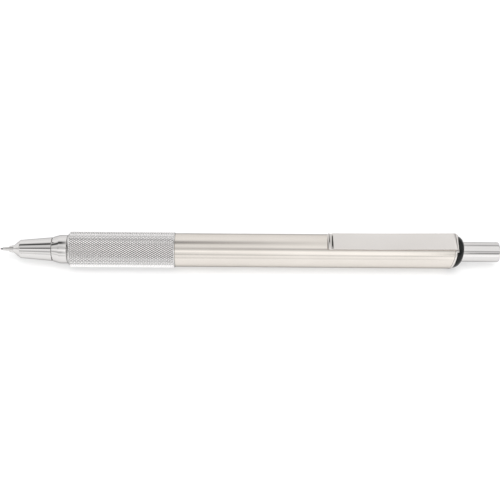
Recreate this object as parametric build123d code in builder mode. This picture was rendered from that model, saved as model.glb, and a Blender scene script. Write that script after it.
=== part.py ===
"""A push-button mechanical pencil in metal: polished nose, knurled grip, steel barrel, spring clip.

The pencil lies along X, with its point at -X, its button at +X and its clip up, at +Z. The origin is
the bottom centre of its box, so the grip rests on z = 0. A station is a distance along the axis from
the point, and a radius is measured from the axis.
"""

import os

from build123d import *

# Overall sizes
LENGTH = 137.2
GRIP_R = 4.87
BARREL_R = 4.62
AXIS_Z = GRIP_R
WALL_GAP = 0.02

# Lead and the sleeve that guides it
LEAD_R = 0.28
LEAD_CONE = 0.55
LEAD_END = 46.0
SLEEVE_FRONT = 0.7
SLEEVE_BACK = 6.5
SLEEVE_FRONT_R = 0.44
SLEEVE_BASE_R = 0.59

# Nose cone
NOSE_FRONT = 2.53
NOSE_STEP = 3.15
NOSE_CONE_FRONT = 3.72
NOSE_TAPER_FRONT = 5.6
NOSE_BACK = 14.36
NOSE_FRONT_R = 0.88
NOSE_STEP_R = 0.98
NOSE_TAPER_R = 2.50
NOSE_BACK_R = 3.26
SPIGOT_R = 2.75
SPIGOT_BORE_R = 2.15
SPIGOT_BACK = 22.0
RETAINER_FRONT = 6.62
RETAINER_BACK = 8.4
RETAINER_R = 1.48
JAW_ROOM_R = 1.75
RING_STOP = 11.5

# Front collar between nose and grip
COLLAR_FRONT = 14.65
COLLAR_SHOULDER = 16.45
COLLAR_BACK = 18.68
COLLAR_FRONT_R = 3.36
COLLAR_R = 3.91
SHANK_R = 3.6
SHANK_BACK = 26.0
CLAMP_SHOULDER = 23.3

# Grip and the core inside it
GRIP_FRONT = 18.71
GRIP_CHAMFER = 19.54
GRIP_BACK = 48.17
GRIP_LIP_BACK = 20.5
GRIP_FRONT_R = 3.95
GRIP_BORE_R = 4.05
CORE_BORE_R = 3.0
CORE_BACK = 56.0

# Barrel, clip and the slanted rear end
BARREL_FRONT = 48.2
BARREL_BORE_R = 4.18
SLANT = 12.0
RING_FRONT = 123.75
RING_BACK = 124.3
RING_R = 4.68
PLUG_SLEEVE_R = 4.12
PLUG_SLEEVE_FRONT = 112.0
PLUG_SLEEVE_BACK = 125.4
PLUG_FRONT = 124.32
PLUG_BACK = 126.6
PLUG_R = 4.4
PLUG_ROUND = 1.8
PLUG_BORE_R = 2.76
CLIP_WIDTH = 5.0
CLIP_THICKNESS = 0.45
CLIP_TIP = 90.0
CLIP_DIP_FRONT = 90.78
CLIP_DIP_BACK = 91.12
CLIP_DIP_SLOPE = 0.42
CLIP_DIP_HEIGHT = 4.88
CLIP_ARM_BEND = 104.0
CLIP_ARM_HEIGHT = 5.14
CLIP_BEND_R = 0.25
CLIP_HEEL = 124.1
CLIP_HEEL_HEIGHT = 5.5
CLIP_TIP_CORNER = 0.6
CLIP_HEEL_CORNER = 1.2
CLIP_HEEL_BEND_R = 1.2
CLIP_HINGE_HEIGHT = 4.47
TAB_FRONT = 124.72
TAB_BOTTOM = 3.55
TAB_BACK = CLIP_HEEL + CLIP_HEEL_BEND_R + CLIP_THICKNESS / 2
CLIP_PLAN_LENGTH = TAB_BACK - CLIP_TIP + CLIP_THICKNESS

# Button, eraser and lead store
BUTTON_R = 2.7
BUTTON_BORE_R = 2.38
BUTTON_FRONT = 122.05
BUTTON_ROOF = 136.3
BUTTON_ROUND = 0.5
TUBE_R = 2.25
TUBE_BORE_R = 1.8
TUBE_FRONT = 36.0
TUBE_NECK_BACK = 41.0
TUBE_CONE_BACK = 42.5
TUBE_COLLAR_R = 2.66
TUBE_COLLAR_FRONT = 120.8
TUBE_COLLAR_BACK = 122.0
TUBE_BACK = 123.5
NECK_BORE_R = 1.32
HOLDER_FRONT = 119.0
HOLDER_STEP = 123.55
HOLDER_FLOOR = 124.3
HOLDER_BACK = 129.5
HOLDER_R = 2.33
HOLDER_HOLE_R = 0.8
ERASER_R = 1.95
ERASER_BACK = 133.2
ERASER_ROUND = 0.4
SPARE_FRONT = 58.0
SPARE_LENGTH = 60.0
SPARE_COUNT = 3
SPARE_RADIUS = 1.2

# Chuck, clutch ring, spring and housing
CHUCK_FRONT = 11.6
CHUCK_LIP = 11.9
CHUCK_HEAD_BACK = 14.2
CHUCK_BACK = 25.9
CHUCK_LIP_R = 1.3
CHUCK_HEAD_R = 1.5
CHUCK_HEAD_BACK_R = 1.2
CHUCK_NECK_R = 0.95
CHUCK_BORE_R = 0.31
JAW_COUNT = 3
JAW_SLOT = 0.2
JAW_SLOT_BACK = 19.0
RING_LEAD = 12.35
RING_TAIL = 14.0
CLUTCH_R = 2.05
CLUTCH_GAP = 0.03
HOUSING_FRONT = 14.05
HOUSING_SEAT = 15.5
HOUSING_BACK = 32.0
HOUSING_R = 2.1
HOUSING_BORE_R = 1.75
HOUSING_MOUTH_R = 1.3
FLANGE_FRONT = 22.05
FLANGE_BACK = 23.2
SPRING_R = 1.4
SPRING_WIRE_R = 0.15
SPRING_TURNS = 9
LINK_FRONT = 24.0
LINK_R = 1.65
LINK_GUIDE_FRONT = 26.0
LINK_GUIDE_BACK = 39.0
LINK_GUIDE_R = 0.45
LINK_FUNNEL_R = 1.1

AXIS_START = (-LENGTH / 2, 0, AXIS_Z)
SIDE = Plane(origin=AXIS_START, x_dir=(1, 0, 0), z_dir=(0, -1, 0))
PENCIL_AXIS = Axis(AXIS_START, (1, 0, 0))


def outline(*points):
    """A closed outline of (station, radius) points, in the plane of the axis."""
    with BuildSketch(SIDE) as face:
        with BuildLine():
            Polyline(*points, close=True)
        make_face()
    return face.sketch


def tube(front, back, outer, inner):
    """The outline of a plain tube or ring."""
    return outline((front, inner), (front, outer), (back, outer), (back, inner))


def across(station):
    """The plane square to the axis at a station, facing the button."""
    return Plane(origin=(station - LENGTH / 2, 0, AXIS_Z), x_dir=(0, 1, 0), z_dir=(1, 0, 0))


def slanted(station):
    """The plane of the slanted rear end, where it crosses the axis at a station."""
    return across(station).rotated((0, SLANT, 0))


def cone_radius(station, start, end):
    """The radius at a station of the cone between two (station, radius) points."""
    share = (station - start[0]) / (end[0] - start[0])
    return start[1] + share * (end[1] - start[1])


parts = []

# Lead: a round stick worn to a blunt point
with BuildPart() as lead:
    revolve(
        outline((0, 0), (0, LEAD_R / 3), (LEAD_CONE, LEAD_R), (LEAD_END, LEAD_R), (LEAD_END, 0)),
        axis=PENCIL_AXIS,
    )
lead.part.label = "lead"
parts.append(lead.part)

# Lead sleeve: tapered steel tube at the point, pressed into the nose
with BuildPart() as lead_sleeve:
    revolve(
        outline(
            (SLEEVE_FRONT, LEAD_R + 2 * WALL_GAP),
            (SLEEVE_FRONT, SLEEVE_FRONT_R),
            (NOSE_FRONT, SLEEVE_BASE_R),
            (SLEEVE_BACK, SLEEVE_BASE_R),
            (SLEEVE_BACK, LEAD_R + 2 * WALL_GAP),
        ),
        axis=PENCIL_AXIS,
    )
lead_sleeve.part.label = "lead_sleeve"
parts.append(lead_sleeve.part)

# Lead retainer: rubber disc that holds the lead while the chuck is open
with BuildPart() as lead_retainer:
    revolve(
        tube(RETAINER_FRONT, RETAINER_BACK, RETAINER_R, LEAD_R + 3 * WALL_GAP), axis=PENCIL_AXIS
    )
lead_retainer.part.label = "lead_retainer"
parts.append(lead_retainer.part)

# Nose cone: stepped lip, steep cone, long taper and the spigot that screws into the collar
with BuildPart() as nose_cone:
    revolve(
        outline(
            (NOSE_FRONT, SLEEVE_BASE_R + WALL_GAP),
            (NOSE_FRONT, NOSE_FRONT_R),
            (NOSE_STEP, NOSE_FRONT_R),
            (NOSE_STEP, NOSE_STEP_R),
            (NOSE_CONE_FRONT, NOSE_STEP_R),
            (NOSE_TAPER_FRONT, NOSE_TAPER_R),
            (NOSE_BACK, NOSE_BACK_R),
            (NOSE_BACK, SPIGOT_R),
            (SPIGOT_BACK, SPIGOT_R),
            (SPIGOT_BACK, SPIGOT_BORE_R),
            (RING_STOP, SPIGOT_BORE_R),
            (RING_STOP, JAW_ROOM_R),
            (RETAINER_BACK + WALL_GAP, JAW_ROOM_R),
            (RETAINER_BACK + WALL_GAP, RETAINER_R + WALL_GAP),
            (RETAINER_FRONT - WALL_GAP, RETAINER_R + WALL_GAP),
            (RETAINER_FRONT - WALL_GAP, SLEEVE_BASE_R + WALL_GAP),
        ),
        axis=PENCIL_AXIS,
    )
nose_cone.part.label = "nose_cone"
parts.append(nose_cone.part)

# Front collar: shoulder behind the nose, with a shank that screws into the grip core
with BuildPart() as front_collar:
    revolve(
        outline(
            (COLLAR_FRONT, SPIGOT_R + WALL_GAP),
            (COLLAR_FRONT, COLLAR_FRONT_R),
            (COLLAR_SHOULDER, COLLAR_R),
            (COLLAR_BACK, COLLAR_R),
            (COLLAR_BACK, SHANK_R),
            (SHANK_BACK, SHANK_R),
            (SHANK_BACK, HOUSING_R + WALL_GAP),
            (CLAMP_SHOULDER, HOUSING_R + WALL_GAP),
            (CLAMP_SHOULDER, SPIGOT_R + WALL_GAP),
        ),
        axis=PENCIL_AXIS,
    )
front_collar.part.label = "front_collar"
parts.append(front_collar.part)

# Grip sleeve: the tube that carries the knurl, chamfered at the front
with BuildPart() as grip_sleeve:
    revolve(
        outline(
            (GRIP_FRONT, SHANK_R + WALL_GAP),
            (GRIP_FRONT, GRIP_FRONT_R),
            (GRIP_CHAMFER, GRIP_R),
            (GRIP_BACK, GRIP_R),
            (GRIP_BACK, GRIP_BORE_R),
            (GRIP_LIP_BACK, GRIP_BORE_R),
            (GRIP_LIP_BACK, SHANK_R + WALL_GAP),
        ),
        axis=PENCIL_AXIS,
    )
grip_sleeve.part.label = "grip_sleeve"
parts.append(grip_sleeve.part)

# Grip core: brass tube that joins collar, grip and barrel
with BuildPart() as grip_core:
    revolve(
        outline(
            (GRIP_LIP_BACK + WALL_GAP, SHANK_R + WALL_GAP),
            (GRIP_LIP_BACK + WALL_GAP, GRIP_BORE_R - WALL_GAP),
            (BARREL_FRONT + WALL_GAP, GRIP_BORE_R - WALL_GAP),
            (BARREL_FRONT + WALL_GAP, BARREL_BORE_R - WALL_GAP),
            (CORE_BACK, BARREL_BORE_R - WALL_GAP),
            (CORE_BACK, CORE_BORE_R),
            (SHANK_BACK + WALL_GAP, CORE_BORE_R),
            (SHANK_BACK + WALL_GAP, SHANK_R + WALL_GAP),
        ),
        axis=PENCIL_AXIS,
    )
grip_core.part.label = "grip_core"
parts.append(grip_core.part)

# Barrel: thin steel tube, cut on the slant at the rear
with BuildPart() as barrel:
    revolve(tube(BARREL_FRONT, LENGTH, BARREL_R, BARREL_BORE_R), axis=PENCIL_AXIS)
    split(bisect_by=slanted(RING_FRONT - WALL_GAP), keep=Keep.BOTTOM)
barrel.part.label = "barrel"
parts.append(barrel.part)

# Clip ring: slanted plate at the barrel's end, with the tab that the clip springs from
with BuildPart() as clip_ring:
    revolve(
        tube(PLUG_SLEEVE_FRONT, LENGTH, RING_R, PLUG_SLEEVE_R + WALL_GAP), axis=PENCIL_AXIS
    )
    split(bisect_by=slanted(RING_BACK), keep=Keep.BOTTOM)
    split(bisect_by=slanted(RING_FRONT), keep=Keep.TOP)
    with BuildSketch(across(TAB_FRONT)):
        with Locations((0, (CLIP_HINGE_HEIGHT - WALL_GAP + TAB_BOTTOM) / 2)):
            Rectangle(CLIP_WIDTH, CLIP_HINGE_HEIGHT - WALL_GAP - TAB_BOTTOM)
        Circle(RING_R, mode=Mode.INTERSECT)
    extrude(amount=TAB_BACK - TAB_FRONT)
    with BuildSketch(across(PLUG_SLEEVE_FRONT)):
        with Locations((0, CLIP_HINGE_HEIGHT - WALL_GAP + CLIP_WIDTH / 2)):
            Rectangle(CLIP_WIDTH + 2 * WALL_GAP, CLIP_WIDTH)
    extrude(amount=LENGTH - PLUG_SLEEVE_FRONT, mode=Mode.SUBTRACT)
clip_ring.part.label = "clip_ring"
parts.append(clip_ring.part)

# Clip: a flat spring strip that dips to the barrel just before its tip, with a rounded heel
with BuildPart() as clip:
    with BuildSketch(SIDE):
        with BuildLine():
            arm = FilletPolyline(
                (CLIP_HEEL, CLIP_HEEL_HEIGHT),
                (CLIP_ARM_BEND, CLIP_ARM_HEIGHT),
                (CLIP_DIP_BACK + CLIP_DIP_SLOPE, CLIP_ARM_HEIGHT),
                (CLIP_DIP_BACK, CLIP_DIP_HEIGHT),
                (CLIP_DIP_FRONT, CLIP_DIP_HEIGHT),
                (CLIP_DIP_FRONT - CLIP_DIP_SLOPE, CLIP_ARM_HEIGHT),
                (CLIP_TIP, CLIP_ARM_HEIGHT),
                radius=CLIP_BEND_R,
            )
            JernArc(arm @ 0, (arm % 0) * -1, CLIP_HEEL_BEND_R, -90)
            offset(amount=CLIP_THICKNESS / 2, side=Side.BOTH)
        make_face()
    extrude(amount=CLIP_WIDTH / 2, both=True)
    split(bisect_by=Plane.XY.offset(AXIS_Z + CLIP_HINGE_HEIGHT), keep=Keep.TOP)
    tip_x = clip.part.bounding_box().min.X
    with BuildSketch(Plane.XY.offset(AXIS_Z)):
        with Locations((tip_x, 0)):
            Rectangle(CLIP_PLAN_LENGTH, CLIP_WIDTH, align=(Align.MIN, Align.CENTER))
        fillet(vertices().group_by(Axis.X)[0], CLIP_TIP_CORNER)
        fillet(vertices().group_by(Axis.X)[-1], CLIP_HEEL_CORNER)
    extrude(amount=2 * CLIP_HEEL_HEIGHT, mode=Mode.INTERSECT)
clip.part.label = "clip"
parts.append(clip.part)

# End plug: black cap with a slanted rounded end, and the sleeve that guides the button
with BuildPart() as end_plug:
    with BuildSketch(across(PLUG_SLEEVE_FRONT)):
        Circle(PLUG_R)
    extrude(amount=LENGTH - PLUG_SLEEVE_FRONT)
    split(bisect_by=slanted(PLUG_FRONT), keep=Keep.TOP)
    split(bisect_by=slanted(PLUG_BACK), keep=Keep.BOTTOM)
    fillet(end_plug.faces().sort_by(Axis.X)[-1].edges(), PLUG_ROUND)
    with BuildSketch(across(PLUG_SLEEVE_FRONT)):
        Circle(PLUG_SLEEVE_R)
    extrude(amount=PLUG_SLEEVE_BACK - PLUG_SLEEVE_FRONT)
    with BuildSketch(across(PLUG_SLEEVE_FRONT)):
        Circle(PLUG_BORE_R)
    extrude(amount=LENGTH - PLUG_SLEEVE_FRONT, mode=Mode.SUBTRACT)
    with BuildSketch(across(TAB_FRONT)):
        with Locations((0, TAB_BOTTOM - WALL_GAP + CLIP_WIDTH / 2)):
            Rectangle(CLIP_WIDTH + 2 * WALL_GAP, CLIP_WIDTH)
    extrude(amount=TAB_BACK + WALL_GAP - TAB_FRONT, mode=Mode.SUBTRACT)
end_plug.part.label = "end_plug"
parts.append(end_plug.part)

# Push button: polished cap that covers the eraser
with BuildPart() as push_button:
    revolve(
        outline(
            (BUTTON_FRONT, BUTTON_BORE_R),
            (BUTTON_FRONT, BUTTON_R),
            (LENGTH, BUTTON_R),
            (LENGTH, 0),
            (BUTTON_ROOF, 0),
            (BUTTON_ROOF, BUTTON_BORE_R),
        ),
        axis=PENCIL_AXIS,
    )
    end_rim = push_button.faces().sort_by(Axis.X)[-1].edges()
    fillet(end_rim, BUTTON_ROUND)
push_button.part.label = "push_button"
parts.append(push_button.part)

# Eraser: white stick with a rounded end, held in its ferrule
with BuildPart() as eraser:
    revolve(
        outline(
            (HOLDER_FLOOR + WALL_GAP, 0),
            (HOLDER_FLOOR + WALL_GAP, ERASER_R),
            (ERASER_BACK, ERASER_R),
            (ERASER_BACK, 0),
        ),
        axis=PENCIL_AXIS,
    )
    fillet(eraser.faces().sort_by(Axis.X)[-1].edges(), ERASER_ROUND)
eraser.part.label = "eraser"
parts.append(eraser.part)

# Eraser holder: ferrule with a shank that plugs the lead tube
with BuildPart() as eraser_holder:
    revolve(
        outline(
            (HOLDER_FRONT, HOLDER_HOLE_R),
            (HOLDER_FRONT, TUBE_BORE_R - WALL_GAP),
            (HOLDER_STEP, TUBE_BORE_R - WALL_GAP),
            (HOLDER_STEP, HOLDER_R),
            (HOLDER_BACK, HOLDER_R),
            (HOLDER_BACK, ERASER_R + WALL_GAP),
            (HOLDER_FLOOR, ERASER_R + WALL_GAP),
            (HOLDER_FLOOR, HOLDER_HOLE_R),
        ),
        axis=PENCIL_AXIS,
    )
eraser_holder.part.label = "eraser_holder"
parts.append(eraser_holder.part)

# Lead tube: store for spare leads, with the collar that the button pushes on
with BuildPart() as lead_tube:
    revolve(
        outline(
            (TUBE_FRONT, NECK_BORE_R),
            (TUBE_FRONT, TUBE_R),
            (TUBE_COLLAR_FRONT, TUBE_R),
            (TUBE_COLLAR_FRONT, TUBE_COLLAR_R),
            (TUBE_COLLAR_BACK, TUBE_COLLAR_R),
            (TUBE_COLLAR_BACK, TUBE_R),
            (TUBE_BACK, TUBE_R),
            (TUBE_BACK, TUBE_BORE_R),
            (TUBE_CONE_BACK, TUBE_BORE_R),
            (TUBE_NECK_BACK, NECK_BORE_R),
        ),
        axis=PENCIL_AXIS,
    )
lead_tube.part.label = "lead_tube"
parts.append(lead_tube.part)

# Spare leads: loose sticks side by side in the lead tube
with BuildPart() as spare_leads:
    with BuildSketch(across(SPARE_FRONT)):
        with PolarLocations(SPARE_RADIUS, SPARE_COUNT):
            Circle(LEAD_R)
    extrude(amount=SPARE_LENGTH)
spare_leads.part.label = "spare_leads"
parts.append(spare_leads.part)

# Chuck: brass collet with a tapered head, slit into jaws
with BuildPart() as chuck:
    revolve(
        outline(
            (CHUCK_FRONT, CHUCK_BORE_R),
            (CHUCK_FRONT, CHUCK_LIP_R),
            (CHUCK_LIP, CHUCK_HEAD_R),
            (CHUCK_HEAD_BACK, CHUCK_HEAD_BACK_R),
            (CHUCK_HEAD_BACK, CHUCK_NECK_R),
            (CHUCK_BACK, CHUCK_NECK_R),
            (CHUCK_BACK, CHUCK_BORE_R),
        ),
        axis=PENCIL_AXIS,
    )
    with BuildSketch(across(CHUCK_FRONT)):
        with PolarLocations(CHUCK_HEAD_R, JAW_COUNT):
            Rectangle(2 * CHUCK_HEAD_R, JAW_SLOT)
    extrude(amount=JAW_SLOT_BACK - CHUCK_FRONT, mode=Mode.SUBTRACT)
chuck.part.label = "chuck"
parts.append(chuck.part)

# Chuck ring: clutch ring that squeezes the jaws shut
HEAD_FRONT = (CHUCK_LIP, CHUCK_HEAD_R + CLUTCH_GAP)
HEAD_BACK = (CHUCK_HEAD_BACK, CHUCK_HEAD_BACK_R + CLUTCH_GAP)
with BuildPart() as chuck_ring:
    revolve(
        outline(
            (RING_LEAD, cone_radius(RING_LEAD, HEAD_FRONT, HEAD_BACK)),
            (RING_LEAD, CLUTCH_R),
            (RING_TAIL, CLUTCH_R),
            (RING_TAIL, cone_radius(RING_TAIL, HEAD_FRONT, HEAD_BACK)),
        ),
        axis=PENCIL_AXIS,
    )
chuck_ring.part.label = "chuck_ring"
parts.append(chuck_ring.part)

# Chuck housing: sleeve that stops the ring, seats the spring and is clamped by its flange
with BuildPart() as chuck_housing:
    revolve(
        outline(
            (HOUSING_FRONT, HOUSING_MOUTH_R),
            (HOUSING_FRONT, HOUSING_R),
            (FLANGE_FRONT, HOUSING_R),
            (FLANGE_FRONT, SPIGOT_R),
            (FLANGE_BACK, SPIGOT_R),
            (FLANGE_BACK, HOUSING_R),
            (HOUSING_BACK, HOUSING_R),
            (HOUSING_BACK, HOUSING_BORE_R),
            (HOUSING_SEAT, HOUSING_BORE_R),
            (HOUSING_SEAT, HOUSING_MOUTH_R),
        ),
        axis=PENCIL_AXIS,
    )
chuck_housing.part.label = "chuck_housing"
parts.append(chuck_housing.part)

# Chuck spring: coil that pushes the chuck back into the ring
SPRING_FRONT = HOUSING_SEAT + SPRING_WIRE_R + WALL_GAP
SPRING_LENGTH = LINK_FRONT - HOUSING_SEAT - 2 * (SPRING_WIRE_R + WALL_GAP)
with BuildPart() as chuck_spring:
    with BuildLine():
        coil = Helix(
            pitch=SPRING_LENGTH / SPRING_TURNS,
            height=SPRING_LENGTH,
            radius=SPRING_R,
            center=across(SPRING_FRONT).origin,
            direction=(1, 0, 0),
        )
    with BuildSketch(Plane(origin=coil @ 0, z_dir=coil % 0)):
        Circle(SPRING_WIRE_R)
    sweep(is_frenet=True)
chuck_spring.part.label = "chuck_spring"
parts.append(chuck_spring.part)

# Chuck link: bush that joins the chuck to the lead tube and funnels in the next lead
with BuildPart() as chuck_link:
    revolve(
        outline(
            (LINK_FRONT, CHUCK_NECK_R + WALL_GAP),
            (LINK_FRONT, LINK_R),
            (TUBE_FRONT - WALL_GAP, LINK_R),
            (TUBE_FRONT - WALL_GAP, NECK_BORE_R - WALL_GAP),
            (TUBE_NECK_BACK, NECK_BORE_R - WALL_GAP),
            (TUBE_NECK_BACK, LINK_FUNNEL_R),
            (LINK_GUIDE_BACK, LINK_GUIDE_R),
            (LINK_GUIDE_FRONT, LINK_GUIDE_R),
            (LINK_GUIDE_FRONT, CHUCK_NECK_R + WALL_GAP),
        ),
        axis=PENCIL_AXIS,
    )
chuck_link.part.label = "chuck_link"
parts.append(chuck_link.part)

os.makedirs("parts", exist_ok=True)
for part in parts:
    export_step(part, f"parts/{part.label}.step")
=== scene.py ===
"""The looks of the metal mechanical pencil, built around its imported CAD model.

The scene is in metres, in the frame of the CAD: the pencil lies along X with its point at -X and its
clip up. Shapes are given in millimetres as in the CAD: a station is a distance from the point, and a
radius or a height is measured from the pencil's axis.
"""

import math

import bmesh
import bpy
import numpy as np
from mathutils import Matrix, Vector


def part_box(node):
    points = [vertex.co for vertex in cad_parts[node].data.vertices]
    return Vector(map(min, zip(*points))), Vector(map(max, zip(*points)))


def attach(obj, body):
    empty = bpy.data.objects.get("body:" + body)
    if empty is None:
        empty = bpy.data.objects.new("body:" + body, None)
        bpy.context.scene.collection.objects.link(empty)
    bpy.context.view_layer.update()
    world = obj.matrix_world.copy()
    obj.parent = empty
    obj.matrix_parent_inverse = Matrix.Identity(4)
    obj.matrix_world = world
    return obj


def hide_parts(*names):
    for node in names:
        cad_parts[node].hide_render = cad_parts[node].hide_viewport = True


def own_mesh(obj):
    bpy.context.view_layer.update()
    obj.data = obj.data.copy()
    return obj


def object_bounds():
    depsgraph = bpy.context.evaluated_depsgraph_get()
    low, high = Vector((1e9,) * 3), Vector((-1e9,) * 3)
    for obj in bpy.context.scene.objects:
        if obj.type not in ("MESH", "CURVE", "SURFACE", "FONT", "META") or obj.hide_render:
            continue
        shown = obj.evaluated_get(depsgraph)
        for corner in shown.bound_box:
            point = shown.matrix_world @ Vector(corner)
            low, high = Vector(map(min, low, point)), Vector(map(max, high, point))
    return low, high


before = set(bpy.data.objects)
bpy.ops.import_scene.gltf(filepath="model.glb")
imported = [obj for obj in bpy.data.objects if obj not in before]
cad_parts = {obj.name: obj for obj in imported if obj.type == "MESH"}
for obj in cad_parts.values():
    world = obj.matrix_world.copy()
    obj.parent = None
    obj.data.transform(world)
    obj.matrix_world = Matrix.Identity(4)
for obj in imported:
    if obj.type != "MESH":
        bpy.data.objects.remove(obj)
cad_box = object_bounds()

MM = 0.001
LENGTH = (cad_box[1].x - cad_box[0].x) / MM
AXIS_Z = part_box("grip_sleeve")[1].z / 2
SLANT = math.tan(math.radians(12.0))
WALL_GAP = 0.02

# Fineness of the meshes
TURN_STEPS = 192
STRIP_STEP = 0.05
SLOPE_REACH = (-0.02, 0, 0.02)
EDGE_STEPS = 5

# How far a corner is softened where nothing else is said, and the most that it takes of a side
SOFT = 0.08
CORNER_SHARE = 0.45


# ---------------------------------------------------------------- mesh helpers


def station(node, end):
    """The station of a CAD node's front (0) or back (1) end."""
    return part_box(node)[end].x / MM + LENGTH / 2


def radius(node):
    """The largest radius of a CAD node that is round about the axis."""
    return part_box(node)[1].y / MM


def place(at, y, height):
    """A point in metres from a station, a distance sideways and a height above the axis."""
    return ((at - LENGTH / 2) * MM, y * MM, height * MM + AXIS_Z)


def new_object(name, vertices, faces, material, smooth=True):
    """A mesh object in metres, with its faces turned outwards."""
    mesh = bpy.data.meshes.new(name)
    mesh.from_pydata(vertices, [], faces)
    work = bmesh.new()
    work.from_mesh(mesh)
    bmesh.ops.recalc_face_normals(work, faces=work.faces)
    work.to_mesh(mesh)
    work.free()
    mesh.materials.append(material)
    for polygon in mesh.polygons:
        polygon.use_smooth = smooth
    ob = bpy.data.objects.new(name, mesh)
    bpy.context.scene.collection.objects.link(ob)
    return ob


def flat_faces(ob):
    """Keeps the shading of large faces flat, so that only the rounded edges blend."""
    weighted = ob.modifiers.new("flat_faces", "WEIGHTED_NORMAL")
    weighted.weight = 100


def point(at, r, slant=0.0, soft=SOFT):
    """A corner of an outline: its station, radius, share of the rear slant and rounding."""
    return at, r, slant, soft


def rounded(outline):
    """The outline's points, each corner off the axis replaced by a short curve."""
    points = []
    count = len(outline)
    for i, (at, r, slant, soft) in enumerate(outline):
        here = np.array((at, r))
        if r == 0 or soft == 0:
            points.append((at, r, slant))
            continue
        to_last = np.array(outline[i - 1][:2]) - here
        to_next = np.array(outline[(i + 1) % count][:2]) - here
        reach = min(soft, *(CORNER_SHARE * np.linalg.norm(side) for side in (to_last, to_next)))
        start = here + to_last / np.linalg.norm(to_last) * reach
        end = here + to_next / np.linalg.norm(to_next) * reach
        steps = 4 if soft < 0.3 else 12
        for k in range(steps + 1):
            t = k / steps
            on_curve = (1 - t) ** 2 * start + 2 * t * (1 - t) * here + t**2 * end
            points.append((*on_curve, slant))
    return points


def skin(rings, closed):
    """The faces between rings of vertex numbers, where a ring of one vertex is a pole."""
    faces = []
    following = rings[1:] + rings[:1] if closed else rings[1:]
    for a, b in zip(rings, following):
        if len(a) == 1 and len(b) == 1:
            continue
        for k in range(max(len(a), len(b))):
            quad = [a[k % len(a)], b[k % len(b)], b[(k + 1) % len(b)], a[(k + 1) % len(a)]]
            faces.append(list(dict.fromkeys(quad)))
    return faces


def lathe(name, outline, material, top=None):
    """A closed body turned about the axis from its outline, and cut off flat above the height top."""
    vertices, rings = [], []
    for at, r, slant in rounded(outline):
        ring = []
        for k in range(1 if r == 0 else TURN_STEPS):
            angle = 2 * math.pi * k / TURN_STEPS
            height = r * math.cos(angle)
            if top is not None:
                height = min(height, top)
            ring.append(len(vertices))
            vertices.append(place(at + slant * SLANT * height, r * math.sin(angle), height))
        rings.append(ring)
    ob = new_object(name, vertices, skin(rings, closed=True), material)
    flat_faces(ob)
    return ob


def section(half_width, half_thickness, edge):
    """A rounded rectangle as (sideways, outwards) points."""
    points = []
    corners = [(1, 1, 0), (-1, 1, 90), (-1, -1, 180), (1, -1, 270)]
    for side, face, turn in corners:
        for k in range(EDGE_STEPS):
            angle = math.radians(turn + 90 * k / (EDGE_STEPS - 1))
            across = side * (half_width - edge) + edge * math.cos(angle)
            out = face * (half_thickness - edge) + edge * math.sin(angle)
            points.append((across, out))
    return points


def inset(size, distance):
    """How far a rounded corner of that size has drawn in, at a distance from the end."""
    if distance >= size:
        return 0.0
    return size - math.sqrt(size**2 - (size - distance) ** 2)


def on_path(path, run, distance):
    """The (station, height) at a distance along a path, whose points lie at the distances in run."""
    return np.array([np.interp(distance, run, path[:, i]) for i in (0, 1)])


def strip(name, path, size, corners, edge, turn_from, material):
    """A flat strip along a path of (station, height) points, its ends' corners rounded in plan.

    Its sections stay upright up to the station turn_from, and then turn with the path.
    """
    path = np.array(path)
    width, thickness = size
    tip_corner, heel_corner = corners
    heel = path[:, 0].max() + thickness
    steps = np.linalg.norm(np.diff(path, axis=0), axis=1)
    run = np.concatenate([[0], np.cumsum(steps)])
    ends = edge * (1 - np.cos(np.linspace(0, math.pi / 2, EDGE_STEPS)))
    middle = np.arange(edge * 1.3, run[-1] - edge * 1.3, STRIP_STEP)
    vertices, rings = [], []
    for distance in [*ends, *middle, *(run[-1] - ends[::-1])]:
        behind, (at, height), ahead = (on_path(path, run, distance + shift) for shift in SLOPE_REACH)
        along = (ahead - behind) / np.linalg.norm(ahead - behind)
        outwards = np.array((-along[1], along[0]) if at > turn_from else (0, 1))
        round_end = inset(edge, min(distance, run[-1] - distance))
        drawn_in = max(inset(tip_corner, distance), inset(heel_corner, heel - at), round_end)
        half_width = width / 2 - drawn_in
        half_thickness = thickness / 2 - round_end
        ring = []
        for across, out in section(half_width, half_thickness, edge * 0.98):
            x, z = np.array((at, height)) + outwards * out
            ring.append(len(vertices))
            vertices.append(place(x, across, z))
        rings.append(ring)
    faces = skin(rings, closed=False) + [rings[0], rings[-1]]
    ob = new_object(name, vertices, faces, material)
    flat_faces(ob)
    return ob


def plate(name, outline, front, back, material):
    """A flat plate across the pencil, from its (sideways, height) outline, with softened edges."""
    count = len(outline)
    vertices = [place(at, y, height) for at in (front, back) for y, height in outline]
    faces = [list(range(count)), list(range(count, 2 * count))]
    for k in range(count):
        following = (k + 1) % count
        faces.append([k, following, count + following, count + k])
    ob = new_object(name, vertices, faces, material)
    soft = ob.modifiers.new("soft_edges", "BEVEL")
    soft.width = 0.05 * MM
    soft.segments = 3
    soft.limit_method = "ANGLE"
    flat_faces(ob)
    return ob


def bend(corners, size):
    """A path of (station, height) corners with arcs of about that radius in place of its bends."""
    path = [np.array(corners[0])]
    for before, here, after in zip(corners, corners[1:], corners[2:]):
        before, here, after = (np.array(p) for p in (before, here, after))
        to_before = (before - here) / np.linalg.norm(before - here)
        to_after = (after - here) / np.linalg.norm(after - here)
        half_turn = (math.pi - math.acos(np.clip(to_before @ to_after, -1, 1))) / 2
        reach = size * math.tan(half_turn)
        start, end = here + to_before * reach, here + to_after * reach
        for k in range(9):
            t = k / 8
            path.append((1 - t) ** 2 * start + 2 * t * (1 - t) * here + t**2 * end)
    path.append(np.array(corners[-1]))
    return path


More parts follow.
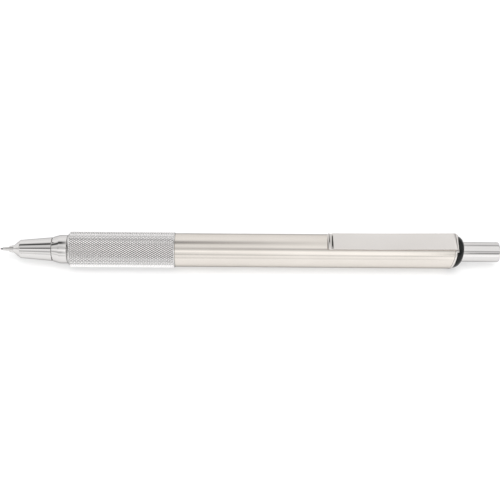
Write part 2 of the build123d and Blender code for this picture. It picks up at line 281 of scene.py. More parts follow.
def arc(start, size, degrees):
    """Points that leave start along the pencil and turn down towards the axis."""
    points = []
    for k in range(1, 17):
        angle = math.radians(degrees * k / 16)
        points.append((start[0] + size * math.sin(angle), start[1] - size * (1 - math.cos(angle))))
    return points


# ---------------------------------------------------------------- materials


def new_material(name):
    """A new material, its node tree and the Principled shader in it."""
    material = bpy.data.materials.new(name)
    material.use_nodes = True
    tree = material.node_tree
    return material, tree, tree.nodes["Principled BSDF"]


def noise(tree, scale, stretch=(1, 1, 1), detail=4.0):
    """Noise in the piece's own space, finer as scale grows, stretched along its axes."""
    coordinates = tree.nodes.new("ShaderNodeTexCoord")
    mapping = tree.nodes.new("ShaderNodeMapping")
    mapping.inputs["Scale"].default_value = stretch
    texture = tree.nodes.new("ShaderNodeTexNoise")
    texture.inputs["Scale"].default_value = scale
    texture.inputs["Detail"].default_value = detail
    tree.links.new(coordinates.outputs["Object"], mapping.inputs["Vector"])
    tree.links.new(mapping.outputs["Vector"], texture.inputs["Vector"])
    return texture.outputs["Fac"]


def blend_colours(tree, factor, low, high):
    """A colour between low and high as the factor goes from 0.3 to 0.7."""
    ramp = tree.nodes.new("ShaderNodeValToRGB")
    ramp.color_ramp.elements[0].position = 0.3
    ramp.color_ramp.elements[1].position = 0.7
    ramp.color_ramp.elements[0].color = (*low, 1)
    ramp.color_ramp.elements[1].color = (*high, 1)
    tree.links.new(factor, ramp.inputs["Fac"])
    return ramp.outputs["Color"]


def between(tree, factor, low, high):
    """A number between low and high as the factor goes from 0.3 to 0.7."""
    spread = tree.nodes.new("ShaderNodeMapRange")
    spread.inputs["From Min"].default_value = 0.3
    spread.inputs["From Max"].default_value = 0.7
    spread.inputs["To Min"].default_value = low
    spread.inputs["To Max"].default_value = high
    tree.links.new(factor, spread.inputs["Value"])
    return spread.outputs["Result"]


def arithmetic(tree, operation, first, second):
    """A math node on two inputs, each a socket or a number."""
    node = tree.nodes.new("ShaderNodeMath")
    node.operation = operation
    for value, socket in zip((first, second), node.inputs):
        if isinstance(value, (int, float)):
            socket.default_value = value
        else:
            tree.links.new(value, socket)
    return node.outputs[0]


def ramp_up(tree, value, low, high):
    """0 below low, 1 above high and a straight line between them."""
    spread = tree.nodes.new("ShaderNodeMapRange")
    spread.inputs["From Min"].default_value = low
    spread.inputs["From Max"].default_value = high
    tree.links.new(value, spread.inputs["Value"])
    return spread.outputs["Result"]


def window(tree, value, low, high, edge):
    """1 between low and high and 0 outside them, with soft edges."""
    rise = ramp_up(tree, value, low - edge, low + edge)
    fall = ramp_up(tree, value, high + edge, high - edge)
    return arithmetic(tree, "MULTIPLY", rise, fall)


def crossfade(tree, factor, first, second):
    """The first colour where factor is 0 and the second where it is 1."""
    mix = tree.nodes.new("ShaderNodeMix")
    mix.data_type = "RGBA"
    tree.links.new(factor, mix.inputs[0])
    tree.links.new(first, mix.inputs[6])
    tree.links.new(second, mix.inputs[7])
    return mix.outputs[2]


def bump(tree, shader, height, depth):
    """Raises the surface by up to depth metres where height is 1."""
    node = tree.nodes.new("ShaderNodeBump")
    node.inputs["Strength"].default_value = 1.0
    node.inputs["Distance"].default_value = depth
    tree.links.new(height, node.inputs["Height"])
    tree.links.new(node.outputs["Normal"], shader.inputs["Normal"])


# What metal reflects at its outline, as a share, and the painted shade deep in the knurl's grooves
EDGE_TINT = (0.38, 0.38, 0.38, 1)
GROOVE_PAINTED_SHADE = (0.20, 0.19, 0.185, 1)


def metal(name, low, high, rough, grain, grain_scale=900, grain_depth=2e-6):
    """Metal with a drawn or turned grain, slow changes of tone and finer changes of polish."""
    material, tree, shader = new_material(name)
    shader.inputs["Metallic"].default_value = 1.0
    shader.inputs["Specular Tint"].default_value = EDGE_TINT
    tone = noise(tree, 120, (0.5, 1, 1))
    tree.links.new(blend_colours(tree, tone, low, high), shader.inputs["Base Color"])
    lines = noise(tree, grain_scale, grain)
    tree.links.new(between(tree, lines, *rough), shader.inputs["Roughness"])
    bump(tree, shader, lines, grain_depth)
    return material


def paint_groove_shade(material, floor_r, crest_r):
    """Paints shade onto metal that lies deep in the grooves of a knurl, by its distance from the axis."""
    tree = material.node_tree
    shader = tree.nodes["Principled BSDF"]
    coordinates = tree.nodes.new("ShaderNodeTexCoord")
    centred = tree.nodes.new("ShaderNodeVectorMath")
    centred.operation = "SUBTRACT"
    centred.inputs[1].default_value = (0, 0, AXIS_Z)
    across = tree.nodes.new("ShaderNodeVectorMath")
    across.operation = "MULTIPLY"
    across.inputs[1].default_value = (0, 1, 1)
    length = tree.nodes.new("ShaderNodeVectorMath")
    length.operation = "LENGTH"
    tree.links.new(coordinates.outputs["Object"], centred.inputs[0])
    tree.links.new(centred.outputs[0], across.inputs[0])
    tree.links.new(across.outputs[0], length.inputs[0])
    height = ramp_up(tree, length.outputs["Value"], floor_r * MM, crest_r * MM)
    bright = shader.inputs["Base Color"].links[0].from_socket
    # Painted shade: a dark colour that stands in for the shade deep in the grooves
    painted_shade = tree.nodes.new("ShaderNodeRGB")
    painted_shade.outputs[0].default_value = GROOVE_PAINTED_SHADE
    tree.links.new(crossfade(tree, height, painted_shade.outputs[0], bright), shader.inputs["Base Color"])


def dull(name, low, high, rough, scale=400, depth=8e-6, gloss=0.5):
    """Moulded or cut material with a fine grain, such as plastic, rubber or graphite."""
    material, tree, shader = new_material(name)
    shader.inputs["Specular IOR Level"].default_value = gloss
    grain = noise(tree, scale)
    tree.links.new(blend_colours(tree, grain, low, high), shader.inputs["Base Color"])
    tree.links.new(between(tree, grain, *rough), shader.inputs["Roughness"])
    bump(tree, shader, noise(tree, scale * 6), depth)
    return material


# Grain drawn out along the pencil, and around it
ALONG = (0.03, 1, 1)
AROUND = (1, 0.03, 0.03)

STEEL = metal("steel_barrel", (0.72, 0.675, 0.625), (0.77, 0.725, 0.675), (0.10, 0.14), ALONG)
KNURL = metal("steel_knurl", (0.95, 0.935, 0.93), (1.0, 0.985, 0.98), (0.12, 0.20), AROUND)
TURNED = metal("steel_turned", (0.70, 0.69, 0.68), (0.76, 0.75, 0.74), (0.10, 0.16), AROUND)
CHROME = metal(
    "chrome", (0.70, 0.685, 0.675), (0.74, 0.725, 0.715), (0.04, 0.07), AROUND, grain_depth=3e-7
)
CLIP_CHROME = metal(
    "clip_chrome", (0.71, 0.68, 0.655), (0.75, 0.72, 0.695), (0.05, 0.09), ALONG, grain_depth=5e-7
)
BRASS = metal("brass", (0.66, 0.46, 0.20), (0.76, 0.56, 0.27), (0.18, 0.30), AROUND)
SPRING = metal("spring_wire", (0.45, 0.45, 0.46), (0.56, 0.56, 0.57), (0.2, 0.3), ALONG)
BLACK = dull("black_plastic", (0.003, 0.004, 0.004), (0.006, 0.008, 0.007), (0.06, 0.10), gloss=0.25)
GREY = dull("grey_plastic", (0.42, 0.43, 0.45), (0.50, 0.51, 0.53), (0.35, 0.50))
RUBBER = dull("black_rubber", (0.015, 0.015, 0.015), (0.03, 0.03, 0.03), (0.6, 0.8))
ERASER = dull("white_eraser", (0.80, 0.79, 0.76), (0.88, 0.87, 0.85), (0.65, 0.85))
GRAPHITE = dull("graphite", (0.05, 0.05, 0.055), (0.09, 0.09, 0.095), (0.30, 0.45), scale=2500)

CAD_FINISH = {
    "lead_retainer": RUBBER,
    "grip_core": BRASS,
    "chuck_housing": BRASS,
    "chuck": BRASS,
    "chuck_link": BRASS,
    "chuck_ring": BRASS,
    "lead_tube": GREY,
    "spare_leads": GRAPHITE,
}


def finish_cad_nodes():
    """Gives each inner CAD node its procedural material and smooth round faces."""
    for node, material in CAD_FINISH.items():
        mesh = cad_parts[node].data
        mesh.materials.clear()
        mesh.materials.append(material)
        mesh.shade_smooth()
        mesh.set_sharp_from_angle(angle=math.radians(25))


# ---------------------------------------------------------------- point, nose, collar and spring

# Lead and sleeve: length of the worn taper, share of the lead's radius left at its end, sleeve's tip
LEAD_TAPER = 0.55
LEAD_WORN_SHARE = 0.35
SLEEVE_TIP_R = 0.44


def make_point():
    """The lead and the tapered sleeve that guides it."""
    lead_r, lead_end = radius("lead"), station("lead", 1)
    lead = lathe(
        "lead_stick",
        [
            point(0, 0),
            point(0, lead_r * LEAD_WORN_SHARE),
            point(LEAD_TAPER, lead_r),
            point(lead_end, lead_r),
            point(lead_end, 0),
        ],
        GRAPHITE,
    )
    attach(lead, "feed")
    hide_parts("lead")

    front, back, base_r = station("lead_sleeve", 0), station("lead_sleeve", 1), radius("lead_sleeve")
    bore_r = lead_r + 2 * WALL_GAP
    sleeve = lathe(
        "guide_sleeve",
        [
            point(front, bore_r, soft=0.02),
            point(front, SLEEVE_TIP_R, soft=0.05),
            point(station("nose_cone", 0), base_r),
            point(back, base_r),
            point(back, bore_r, soft=0.02),
        ],
        CHROME,
    )
    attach(sleeve, "frame")
    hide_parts("lead_sleeve")


# Nose: the stations of its steps are counted from its front, and its inner ones from the point
LIP_R = 0.88
LIP_BACK = 0.62
RIM_R = 0.98
RIM_BACK = 1.19
STEEP_BACK = 3.07
TAPER_R = 2.50
COLLAR_GAP = 0.29
SPIGOT_R = 2.75
NOSE_BORE_FRONT = 11.5
NOSE_BORE_R = 2.15
RETAINER_SEAT_R = 1.75


def make_nose():
    """The polished nose: a stepped lip, a steep cone, a long taper and the hidden spigot."""
    front, back = station("nose_cone", 0), station("nose_cone", 1)
    shoulder = station("front_collar", 0) - COLLAR_GAP
    bore_r = radius("lead_sleeve") + WALL_GAP
    rubber_front = station("lead_retainer", 0) - WALL_GAP
    rubber_back = station("lead_retainer", 1) + WALL_GAP
    rubber_r = radius("lead_retainer") + WALL_GAP
    nose = lathe(
        "nose_shell",
        [
            point(front, bore_r, soft=0.02),
            point(front, LIP_R, soft=0.12),
            point(front + LIP_BACK, LIP_R, soft=0.03),
            point(front + LIP_BACK, RIM_R, soft=0.04),
            point(front + RIM_BACK, RIM_R, soft=0.04),
            point(front + STEEP_BACK, TAPER_R, soft=0.15),
            point(shoulder, radius("nose_cone")),
            point(shoulder, SPIGOT_R),
            point(back, SPIGOT_R),
            point(back, NOSE_BORE_R),
            point(NOSE_BORE_FRONT, NOSE_BORE_R),
            point(NOSE_BORE_FRONT, RETAINER_SEAT_R),
            point(rubber_back, RETAINER_SEAT_R),
            point(rubber_back, rubber_r),
            point(rubber_front, rubber_r),
            point(rubber_front, bore_r),
        ],
        CHROME,
    )
    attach(nose, "frame")
    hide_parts("nose_cone")


# Collar: cone in front, shank inside the grip, and a threaded socket up to SOCKET_END from its back
COLLAR_FRONT_R = 3.36
COLLAR_CONE = 1.80
SHANK_R = 3.6
SHANK_BORE_R = 2.12
SOCKET_END = 2.7


def make_collar():
    """The polished collar between nose and grip, with its hidden shank."""
    front, back = station("front_collar", 0), station("front_collar", 1)
    collar_r, socket_r = radius("front_collar"), SPIGOT_R + WALL_GAP
    rim = station("grip_sleeve", 0) - 0.03
    collar = lathe(
        "front_collar_shell",
        [
            point(front, socket_r),
            point(front, COLLAR_FRONT_R),
            point(front + COLLAR_CONE, collar_r, soft=0.12),
            point(rim, collar_r, soft=0.12),
            point(rim, SHANK_R),
            point(back, SHANK_R),
            point(back, SHANK_BORE_R),
            point(back - SOCKET_END, SHANK_BORE_R),
            point(back - SOCKET_END, socket_r),
        ],
        CHROME,
    )
    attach(collar, "frame")
    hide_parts("front_collar")


# Spring: wire, turns, and the fineness of its mesh along a turn and around the wire
SPRING_WIRE_R = 0.15
SPRING_TURNS = 9
SPRING_STEPS = 32
SPRING_SIDES = 12


def make_spring():
    """The return spring: a coil of wire that bears on its seat in the housing and rides with the
    mechanism.
    """
    low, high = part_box("chuck_spring")
    coil_r = (high.y - low.y) / 2 / MM - SPRING_WIRE_R
    front = station("chuck_spring", 0) + SPRING_WIRE_R
    back = station("chuck_spring", 1) - SPRING_WIRE_R
    steps = SPRING_TURNS * SPRING_STEPS
    vertices, rings = [], []
    for k in range(steps + 1):
        turn = 2 * math.pi * k / SPRING_STEPS
        outwards = np.array((0, math.sin(turn), math.cos(turn)))
        ring = []
        for side in range(SPRING_SIDES):
            around = 2 * math.pi * side / SPRING_SIDES
            x, y, height = outwards * (coil_r + SPRING_WIRE_R * math.cos(around))
            x = front + (back - front) * k / steps + SPRING_WIRE_R * math.sin(around)
            ring.append(len(vertices))
            vertices.append(place(x, y, height))
        rings.append(ring)
    faces = skin(rings, closed=False) + [rings[0], rings[-1]]
    spring = new_object("return_spring", vertices, faces, SPRING)
    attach(spring, "mechanism")
    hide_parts("chuck_spring")
    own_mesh(spring)


# ---------------------------------------------------------------- grip

# Grip: its inner holes meet at a shoulder, and the knurl starts and ends this far from its ends
GRIP_SHOULDER = 1.79
SHANK_HOLE_R = 3.62
CORE_HOLE_R = 4.05
GRIP_FRONT_R = 3.93
GRIP_REAR_STEP = 0.05
KNURL_START = 0.83
KNURL_END = 0.32

# Knurl: diamonds around, angle of the grooves to the axis, depth, share of a slope where a crest's
# flat top starts, and grid steps across a diamond
KNURL_COUNT = 54
KNURL_ANGLE = 30.0
KNURL_DEPTH = 0.19
KNURL_CREST = 2 / 3
CELL_STEPS = 6


def knurl_height(i, j):
    """How far a diamond of the knurl stands out at a grid point, from 0 in its grooves to 1."""
    sides = []
    for along_groove in (i + j, i - j):
        share = (along_groove % CELL_STEPS) / CELL_STEPS
        sides.append(2 * min(share, 1 - share))
    return min(*sides, KNURL_CREST) / KNURL_CREST


def split_cell(corners, diagonal):
    """Two triangles for a cell of the knurl's grid, split along the groove or ridge that crosses it."""
    a, b, c, d = corners
    if (diagonal + 1) % (CELL_STEPS // 2) == 0:
        return [[a, b, d], [b, c, d]]
    return [[a, b, c], [a, c, d]]


def grip_outline(front, back, crest_r):
    """The plain (station, radius) points of the grip before its knurl, and those after it."""
    knurl_front, knurl_back = front + KNURL_START, back - KNURL_END
    before = [
        (front + GRIP_SHOULDER, SHANK_HOLE_R),
        (front, SHANK_HOLE_R),
        (front, GRIP_FRONT_R),
        (front + 0.03, GRIP_FRONT_R + 0.04),
        (knurl_front - 0.17, crest_r - 0.22),
        (knurl_front - 0.10, crest_r - 0.16),
    ]
    after = [
        (knurl_back + 0.06, crest_r - GRIP_REAR_STEP),
        (back - 0.08, crest_r - GRIP_REAR_STEP),
        (back, crest_r - 0.13),
        (back, CORE_HOLE_R),
        (front + GRIP_SHOULDER, CORE_HOLE_R),
    ]
    return before, after


def grip_rings(front, back, crest_r, rows):
    """The grip's rings as (station, radii), from the shank's hole over the knurl to the core's hole."""
    around = KNURL_COUNT * CELL_STEPS
    before, after = grip_outline(front, back, crest_r)
    knurl_front, knurl_back = front + KNURL_START, back - KNURL_END
    knurl = []
    for j in range(rows + 1):
        at = knurl_front + (knurl_back - knurl_front) * j / rows
        knurl.append((at, [crest_r - KNURL_DEPTH * (1 - knurl_height(i, j)) for i in range(around)]))
    plain_before, plain_after = ([(at, [r] * around) for at, r in part] for part in (before, after))
    return plain_before + knurl + plain_after, len(before)


def make_grip():
    """The knurled grip: crossed helical grooves that leave flat-topped diamonds."""
    front, back, crest_r = station("grip_sleeve", 0), station("grip_sleeve", 1), radius("grip_sleeve")
    around = KNURL_COUNT * CELL_STEPS
    pitch = 2 * math.pi * crest_r / KNURL_COUNT / math.tan(math.radians(KNURL_ANGLE))
    rows = round((back - front - KNURL_START - KNURL_END) / pitch * CELL_STEPS)
    profile, first = grip_rings(front, back, crest_r, rows)
    vertices, rings = [], []
    for at, radii in profile:
        rings.append(range(len(vertices), len(vertices) + around))
        for k, r in enumerate(radii):
            angle = 2 * math.pi * k / around
            vertices.append(place(at, r * math.sin(angle), r * math.cos(angle)))

    faces, in_knurl = [], []
    for number, (a, b) in enumerate(zip(rings, rings[1:] + rings[:1])):
        j = number - first
        knurled = 0 <= j < rows
        for i in range(around):
            k = (i + 1) % around
            corners = [a[i], b[i], b[k], a[k]]
            cell = split_cell(corners, i + j) if knurled else [corners]
            faces += cell
            in_knurl += [knurled] * len(cell)
    # Painted shade: the knurl's metal is darkened towards the floor of its grooves
    paint_groove_shade(KNURL, crest_r - KNURL_DEPTH, crest_r - KNURL_DEPTH * 0.5)
    grip = new_object("knurled_grip", vertices, faces, KNURL, smooth=False)
    grip.data.materials.append(TURNED)
    for polygon, knurled in zip(grip.data.polygons, in_knurl):
        polygon.material_index = 0 if knurled else 1
    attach(grip, "frame")
    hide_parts("grip_sleeve")


# ---------------------------------------------------------------- barrel and rear end

# Barrel, slanted ring, and the tab on it that the clip springs from
BARREL_BORE_R = 4.18
RING_BORE_R = 4.14
RING_THICKNESS = 0.55
TAB_FOOT = 3.55
TAB_FRONT = 124.72

# The clip's strip: heights are those of the middle of its thickness, and lengths start at its tip
CLIP_WIDTH = (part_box("clip")[1].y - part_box("clip")[0].y) / MM
CLIP_THICKNESS = 0.45
CLIP_EDGE = 0.11
CLIP_CORNERS = (0.6, 1.2)
CLIP_ARM = 5.14
CLIP_STRAIGHT = 14.2
CLIP_DIP = 4.88
DIP_START = 0.32
DIP_FLOOR = (0.80, 1.12)
DIP_END = 1.54
DIP_BEND_R = 0.12
CLIP_HEEL_R = 1.2

# Black plug: its domed shoulder, and the sleeve of it that is hidden in the barrel
CAP_BACK = 126.6
CAP_DOME_R = 1.8
CAP_DOME_POINTS = 16
PLUG_SLEEVE_R = 4.12
PLUG_BORE_R = 2.76

BUTTON_WALL = 0.32
BUTTON_ROOF = 0.9
BUTTON_ROUND = 0.5


def slanted_end():
    """The station where the plane of the barrel's slanted end crosses the axis."""
    return station("barrel", 1) - SLANT * radius("barrel")


def make_barrel():
    """The thin steel barrel, cut on the slant at its rear."""
    barrel_r, front, back = radius("barrel"), station("barrel", 0), slanted_end()
    barrel = lathe(
        "barrel_tube",
        [
            point(front, BARREL_BORE_R),
            point(front, barrel_r, soft=0.15),
            point(back, barrel_r, 1, soft=0.10),
            point(back, BARREL_BORE_R, 1),
        ],
        STEEL,
    )
    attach(barrel, "frame")
    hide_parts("barrel")


def make_clip_plate():
    """The bright slanted ring at the barrel's end and the tab that the clip springs from."""
    ring_r = radius("clip_ring")
    front = slanted_end() + WALL_GAP
    back = front + RING_THICKNESS
    top = (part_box("clip")[0].z - AXIS_Z) / MM - WALL_GAP
    ring = lathe(
        "clip_plate",
        [
            point(front, RING_BORE_R, 1, soft=0.03),
            point(front, ring_r, 1, soft=0.10),
            point(back, ring_r, 1, soft=0.10),
            point(back, RING_BORE_R, 1, soft=0.03),
        ],
        CLIP_CHROME,
        top=top,
    )
    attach(ring, "frame")
    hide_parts("clip_ring")

    half_width = CLIP_WIDTH / 2
    shoulder, corner = math.asin(half_width / ring_r), math.acos(top / ring_r)
    outline = [(-half_width, TAB_FOOT), (half_width, TAB_FOOT)]
    for side in (1, -1):
        angles = np.linspace(shoulder, corner, 8)[::side]
        outline += [(side * ring_r * math.sin(a), ring_r * math.cos(a)) for a in angles]
    tab = plate("clip_tab", outline, TAB_FRONT, station("clip", 1), CLIP_CHROME)
    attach(tab, "frame")


def make_clip():
    """The spring clip: flat arm, dip to the barrel just before its tip, heel bent down to its tab."""
    low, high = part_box("clip")
    tip = low.x / MM + LENGTH / 2
    heel = high.x / MM + LENGTH / 2 - CLIP_HEEL_R - CLIP_THICKNESS / 2
    heel_height = (high.z - AXIS_Z) / MM - CLIP_THICKNESS / 2
    arm = bend(
        [
            (tip, CLIP_ARM),
            (tip + DIP_START, CLIP_ARM),
            (tip + DIP_FLOOR[0], CLIP_DIP),
            (tip + DIP_FLOOR[1], CLIP_DIP),
            (tip + DIP_END, CLIP_ARM),
            (tip + CLIP_STRAIGHT, CLIP_ARM),
            (heel, heel_height),
        ],
        DIP_BEND_R,
    )
    drop = heel_height - (low.z - AXIS_Z) / MM
    turn = math.degrees(math.acos(1 - drop / CLIP_HEEL_R))
    path = arm + arc((heel, heel_height), CLIP_HEEL_R, turn)
    size = (CLIP_WIDTH, CLIP_THICKNESS)
    clip = strip("clip_strip", path, size, CLIP_CORNERS, CLIP_EDGE, heel, CLIP_CHROME)
    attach(clip, "clip_arm")
    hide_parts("clip")


def make_end_cap():
    """The glossy black plug with its slanted, rounded shoulder."""
    plug_r = radius("end_plug")
    sleeve_front = station("end_plug", 0)
    cap_front = slanted_end() + RING_THICKNESS + 2 * WALL_GAP
    dome_end = math.acos(1 - (plug_r - PLUG_BORE_R) / CAP_DOME_R)
    dome = []
    for angle in np.linspace(0, dome_end, CAP_DOME_POINTS):
        at = CAP_BACK - CAP_DOME_R * (1 - math.sin(angle))
        dome.append(point(at, plug_r - CAP_DOME_R * (1 - math.cos(angle)), 1, soft=0))
    cap = lathe(
        "end_cap",
        [
            point(sleeve_front, PLUG_BORE_R),
            point(sleeve_front, PLUG_SLEEVE_R),
            point(cap_front, PLUG_SLEEVE_R, 1, soft=0.02),
            point(cap_front, plug_r, 1),
            *dome,
        ],
        BLACK,
    )
    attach(cap, "frame")
    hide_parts("end_plug")


def make_button():
    """The polished push button, a thin cap with a rounded rim."""
    front, back, button_r = station("push_button", 0), station("push_button", 1), radius("push_button")
    roof, bore_r = back - BUTTON_ROOF, button_r - BUTTON_WALL
    button = lathe(
        "button_cap",
        [
            point(front, bore_r),
            point(front, button_r),
            point(back, button_r, soft=BUTTON_ROUND),
            point(back, 0),
            point(roof, 0),
            point(roof, bore_r),
        ],
        CHROME,
    )
    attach(button, "button")
    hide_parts("push_button")


# Eraser and ferrule: the ferrule's thin plug sits in the lead tube, and its beads are counted from there
ERASER_ROUND = 0.4
FERRULE_PLUG_R = 1.78
FERRULE_PLUG_BORE_R = 0.8
FERRULE_FLOOR = 0.77
BEAD_PLACES = (1.6, 3.4)
BEAD_HALF = 0.45
BEAD_RISE = 0.08


def make_eraser():
    """The eraser, seen when the button is pulled off."""
    front, back, eraser_r = station("eraser", 0), station("eraser", 1), radius("eraser")
    eraser = lathe(
        "eraser_stick",
        [
            point(front, 0),
            point(front, eraser_r),
            point(back, eraser_r, soft=ERASER_ROUND),
            point(back, 0),
        ],
        ERASER,
    )
    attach(eraser, "mechanism")
    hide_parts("eraser")


def make_ferrule():
    """The eraser's brass ferrule, with two raised beads around it."""
    front, rim, bead_r = station("eraser_holder", 0), station("eraser_holder", 1), radius("eraser_holder")
    floor, seat_r = station("eraser", 0), radius("eraser") + WALL_GAP
    step, wall_r = floor - FERRULE_FLOOR, bead_r - BEAD_RISE
    outline = [
        point(front, FERRULE_PLUG_BORE_R),
        point(front, FERRULE_PLUG_R),
        point(step, FERRULE_PLUG_R),
        point(step, wall_r),
    ]
    for bead in BEAD_PLACES:
        outline += [
            point(step + bead - BEAD_HALF, wall_r),
            point(step + bead, bead_r, soft=0.2),
            point(step + bead + BEAD_HALF, wall_r),
        ]
    outline += [
        point(rim, wall_r),
        point(rim, seat_r, soft=0.03),
        point(floor - WALL_GAP, seat_r),
        point(floor - WALL_GAP, FERRULE_PLUG_BORE_R),
    ]
    ferrule = lathe("eraser_ferrule", outline, BRASS)
    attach(ferrule, "mechanism")
    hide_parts("eraser_holder")


# ---------------------------------------------------------------- studio

# Floor: half its side in metres, its range of white, and how strongly it glows
FLOOR_HALF = 3.0
FLOOR_WHITE = ((0.64, 0.64, 0.64), (0.65, 0.65, 0.65))
FLOOR_GLOW = 0.38


def make_floor():
    """A plain white floor that the pencil lies on, glowing a little so that its shadow stays faint."""
    material, tree, shader = new_material("floor")
    white = blend_colours(tree, noise(tree, 3), *FLOOR_WHITE)
    tree.links.new(white, shader.inputs["Base Color"])
    shader.inputs["Emission Color"].default_value = (1, 1, 1, 1)
    shader.inputs["Emission Strength"].default_value = FLOOR_GLOW
    shader.inputs["Roughness"].default_value = 0.9
    shader.inputs["Specular IOR Level"].default_value = 0.0
    corners = [(x * FLOOR_HALF, y * FLOOR_HALF, 0) for x, y in ((-1, -1), (1, -1), (1, 1), (-1, 1))]
    floor = new_object("floor", corners, [(0, 1, 2, 3)], material)


# The studio as (angle, brightness): the angle runs up from the front horizon, over the top and down
# to the back. The nose mirrors the far left, the collar the left and the button the right.
LEFT_FRONT = [
    (0, 0.85),
    (10, 0.90),
    (18, 1.15),
    (24, 1.00),
    (29, 0.50),
    (35, 0.65),
    (42, 0.85),
    (52, 1.30),
]
LEFT_BACK = [
    (88, 0.90),
    (97, 0.85),
    (102, 0.50),
    (106, 0.10),
    (118, 0.06),
    (124, 0.55),
    (132, 0.95),
    (140, 1.05),
    (180, 1.00),
]
FAR_LEFT = [*LEFT_FRONT, (56, 1.10), (62, 0.15), (67, 0.30), (80, 0.65), *LEFT_BACK]
LEFT = [*LEFT_FRONT, (58, 1.00), (64, 0.75), (72, 0.72), (80, 0.72), *LEFT_BACK]
MIDDLE = [
    (0, 0.97),
    (10, 1.05),
    (17, 1.20),
    (22, 1.10),
    (26, 0.75),
    (30, 1.10),
    (37, 1.38),
    (52, 1.32),
    (59, 0.95),
    (66, 0.60),
    (71, 0.62),
    (78, 1.05),
    (84, 1.15),
    (92, 1.02),
    (104, 0.98),
    (122, 1.00),
    (180, 1.02),
]
RIGHT = [
    (0, 1.25),
    (12, 1.40),
    (22, 1.25),
    (30, 0.90),
    (38, 0.45),
    (44, 0.30),
    (48, 0.60),
    (54, 0.90),
    (60, 0.60),
    (65, 0.50),
    (70, 0.75),
    (78, 1.12),
    (92, 1.02),
    (124, 1.05),
    (132, 0.80),
    (140, 0.50),
    (147, 0.50),
    (156, 0.95),
    (180, 0.95),
]
BRIGHTEST = 1.5

# How far to the right the far left side lies, and where each later side gives way to the next
FAR_LEFT_SPAN = (-0.45, -0.225)
LEFT_TO_MIDDLE = (-0.15, 0.08)
MIDDLE_TO_RIGHT = (0.17, 0.20)

FAR_LEFT_BLUR = 0.025

# Two dark cards that the clip's dip mirrors: how far each lies to the right, and its span of angles
DARK_CARDS = [((0.735, 0.875), (139, 156)), ((-0.82, -0.665), (129, 148))]
CARD_BLACK = (0.03, 0.03, 0.028, 1)
CARD_BLUR = 0.012
CARD_BLUR_DEGREES = 1.5


def studio_strips(tree, share, levels):
    """The brightness of one side of the studio, from its angle as a share of half a turn."""
    ramp = tree.nodes.new("ShaderNodeValToRGB")
    ramp.color_ramp.interpolation = "EASE"
    while len(ramp.color_ramp.elements) < len(levels):
        ramp.color_ramp.elements.new(0.5)
    for element, (degrees, level) in zip(ramp.color_ramp.elements, levels):
        element.position = degrees / 180
        element.color = (level / BRIGHTEST,) * 3 + (1,)
    tree.links.new(share, ramp.inputs["Fac"])
    return ramp.outputs["Color"]


def dark_cards(tree, rightwards, angle):
    """1 where a direction meets one of the dark cards, and 0 elsewhere."""
    cards = []
    for (low, high), (start, end) in DARK_CARDS:
        start, end, blur = (math.radians(degrees) for degrees in (start, end, CARD_BLUR_DEGREES))
        sideways = window(tree, rightwards, low, high, CARD_BLUR)
        cards.append(arithmetic(tree, "MULTIPLY", sideways, window(tree, angle, start, end, blur)))
    return arithmetic(tree, "ADD", *cards)


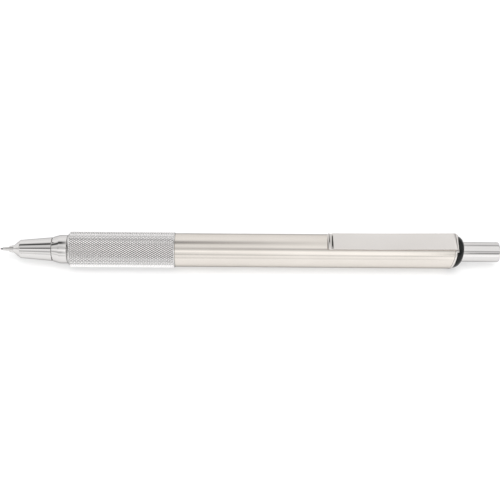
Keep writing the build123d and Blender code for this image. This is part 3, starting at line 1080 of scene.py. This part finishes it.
def make_studio():
    """Soft light from long strips overhead, parallel to the pencil, with dark gaps and cards between."""
    world = bpy.data.worlds.new("studio")
    bpy.context.scene.world = world
    world.use_nodes = True
    tree = world.node_tree
    background = tree.nodes["Background"]
    coordinates = tree.nodes.new("ShaderNodeTexCoord")
    split = tree.nodes.new("ShaderNodeSeparateXYZ")
    tree.links.new(coordinates.outputs["Generated"], split.inputs[0])
    front = arithmetic(tree, "MULTIPLY", split.outputs["Y"], -1)
    angle = arithmetic(tree, "ARCTAN2", split.outputs["Z"], front)
    share = arithmetic(tree, "DIVIDE", angle, math.pi)
    rightwards = split.outputs["X"]
    far_left, left, middle, right = (
        studio_strips(tree, share, levels) for levels in (FAR_LEFT, LEFT, MIDDLE, RIGHT)
    )
    colour = crossfade(tree, window(tree, rightwards, *FAR_LEFT_SPAN, FAR_LEFT_BLUR), left, far_left)
    colour = crossfade(tree, ramp_up(tree, rightwards, *LEFT_TO_MIDDLE), colour, middle)
    colour = crossfade(tree, ramp_up(tree, rightwards, *MIDDLE_TO_RIGHT), colour, right)
    black = tree.nodes.new("ShaderNodeRGB")
    black.outputs[0].default_value = CARD_BLACK
    colour = crossfade(tree, dark_cards(tree, rightwards, angle), colour, black.outputs[0])
    tree.links.new(colour, background.inputs["Color"])
    background.inputs["Strength"].default_value = BRIGHTEST


SUN_ENERGY = 1.1
SUN_SPREAD = math.radians(30)
SUN_LEAN = math.radians(8)


def make_sun():
    """A broad soft light from above and a little in front, which isn't mirrored in the metal."""
    data = bpy.data.lights.new("soft_top_light", "SUN")
    data.energy = SUN_ENERGY
    data.angle = SUN_SPREAD
    light = bpy.data.objects.new("soft_top_light", data)
    light.rotation_euler = (SUN_LEAN, 0, 0)
    light.visible_glossy = False
    bpy.context.scene.collection.objects.link(light)


# Camera: how far up it looks from, its roll, its distance, the width it sees there in metres, and
# how far its aim is off the pencil's middle, along the pencil and up the picture
ELEVATION = math.radians(59.5)
ROLL = math.radians(0.384)
DISTANCE = 0.300
VIEW_WIDTH = 0.13775
AIM_ALONG = 0.00014
AIM_UP = 0.000125
SENSOR = 36.0


def make_camera():
    """A camera in front of the pencil, well above it and square to it."""
    back = Vector((0, -math.cos(ELEVATION), math.sin(ELEVATION)))
    up = Vector((0, math.sin(ELEVATION), math.cos(ELEVATION)))
    target = Vector((AIM_ALONG, 0, AXIS_Z)) + up * AIM_UP
    data = bpy.data.cameras.new("camera")
    data.sensor_width = SENSOR
    data.lens = SENSOR * DISTANCE / VIEW_WIDTH
    data.clip_start, data.clip_end = 0.01, 20
    camera = bpy.data.objects.new("camera", data)
    bpy.context.scene.collection.objects.link(camera)
    turn = Matrix((up.cross(back), up, back)).transposed().to_4x4()
    roll = Matrix.Rotation(ROLL, 4, "Z")
    camera.matrix_world = Matrix.Translation(target + back * DISTANCE) @ turn @ roll
    bpy.context.scene.camera = camera


bpy.context.scene.view_settings.view_transform = "Standard"
finish_cad_nodes()
make_point()
make_nose()
make_collar()
make_spring()
make_grip()
make_barrel()
make_clip_plate()
make_clip()
make_end_cap()
make_button()
make_eraser()
make_ferrule()
make_floor()
make_studio()
make_sun()
make_camera()
